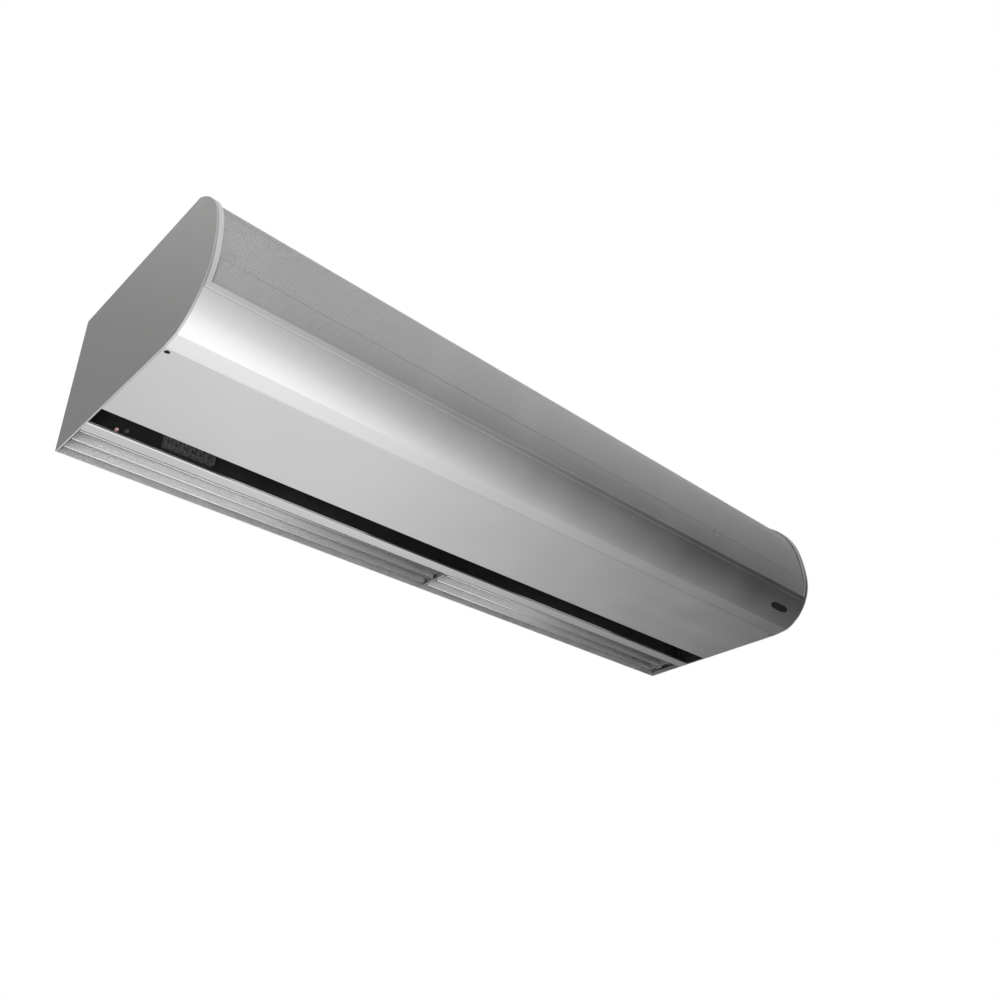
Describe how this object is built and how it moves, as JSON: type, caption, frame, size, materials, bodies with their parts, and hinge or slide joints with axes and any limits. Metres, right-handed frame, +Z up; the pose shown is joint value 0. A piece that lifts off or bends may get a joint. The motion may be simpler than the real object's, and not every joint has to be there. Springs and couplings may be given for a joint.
{
  "type": "air curtain",
  "caption": "Wall-mounted doorway air curtain with a curved perforated front, coupled airfoil vanes in a bottom nozzle, and blower wheels on one motor shaft inside.",
  "frame": {"origin": "centre of the four wall bolt holes, on the outer face of the back panel", "axes": "+X along the unit to the right seen from the front, +Y into the wall, +Z up"},
  "size_m": [1.219, 0.37, 0.215],
  "materials": {
    "anodised_cover": "satin anodised",
    "anodised_end": "satin anodised",
    "anodised_vane": "satin anodised",
    "galvanised": "galvanised sheet",
    "black_sheet": "matt black paint",
    "steel": "bright zinc plated",
    "blackened_screw": "black oxide",
    "rubber": "matt",
    "grey_plastic": "moulded",
    "motor_paint": "satin paint"
  },
  "bodies": {
    "cabinet": {"end_plate_left": "anodised_end", "end_plate_right": "anodised_end", "back_panel": "galvanised", "top_panel": "anodised_cover", "bottom_panel": "anodised_cover", "panel_angles": "galvanised", "panel_screws": "blackened_screw", "lower_front_cover": "anodised_cover", "front_rail": "galvanised", "grille_frame": "anodised_cover", "intake_grille": "anodised_cover", "nozzle_plenum": "black_sheet", "nozzle_lip": "anodised_cover", "vane_comb_left": "steel", "vane_comb_middle": "steel", "vane_comb_right": "steel", "blower_housing_left": "galvanised", "blower_housing_right": "galvanised", "inlet_rings": "galvanised", "motor_stator": "steel", "motor_shell": "motor_paint", "motor_end_bells": "motor_paint", "motor_bearings": "steel", "motor_isolators": "rubber", "motor_cradle": "galvanised", "capacitor": "grey_plastic", "capacitor_strap": "galvanised", "junction_box": "galvanised", "junction_cover": "galvanised", "cable_bushing": "rubber", "terminal_strip": "grey_plastic", "terminal_screws": "steel", "hanging_inserts": "steel"},
    "rotor": {"motor_shaft": "steel", "motor_rotor": "steel", "blower_wheel_left": "galvanised", "blower_wheel_right": "galvanised", "hub_screws": "blackened_screw"},
    "rear_vane_set": {"vane_rear": "anodised_vane", "pivot_rear": "steel", "crank_rear": "steel"},
    "middle_vane_set": {"vane_middle": "anodised_vane", "pivot_middle": "steel", "crank_middle": "steel"},
    "front_vane_set": {"vane_front": "anodised_vane", "pivot_front": "steel", "crank_front": "steel"},
    "vane_linkage": {"vane_link": "steel"}
  },
  "joints": [
    {"name": "rotor_spin", "type": "hinge", "parent": "cabinet", "child": "rotor", "pos_m": [0, -0.1249, -0.025], "axis": [1, 0, 0], "continuous": true},
    {"name": "middle_vane_tilt", "type": "hinge", "parent": "cabinet", "child": "middle_vane_set", "pos_m": [0, -0.03525, -0.1015], "axis": [1, 0, 0], "range_deg": [-20, 20]},
    {"name": "rear_vane_tilt", "type": "hinge", "parent": "cabinet", "child": "rear_vane_set", "pos_m": [0, -0.01175, -0.1015], "axis": [1, 0, 0], "range_deg": [-20, 20]},
    {"name": "front_vane_tilt", "type": "hinge", "parent": "cabinet", "child": "front_vane_set", "pos_m": [0, -0.05875, -0.1015], "axis": [1, 0, 0], "range_deg": [-20, 20]},
    {"name": "link_level", "type": "hinge", "parent": "middle_vane_set", "child": "vane_linkage", "pos_m": [0.5863, -0.03525, -0.1105], "axis": [1, 0, 0], "range_deg": [-20, 20]}
  ],
  "couplings": [
    {"joint": "rear_vane_tilt", "follows": "middle_vane_tilt", "ratio": 1},
    {"joint": "front_vane_tilt", "follows": "middle_vane_tilt", "ratio": 1},
    {"joint": "link_level", "follows": "middle_vane_tilt", "ratio": -1}
  ]
}
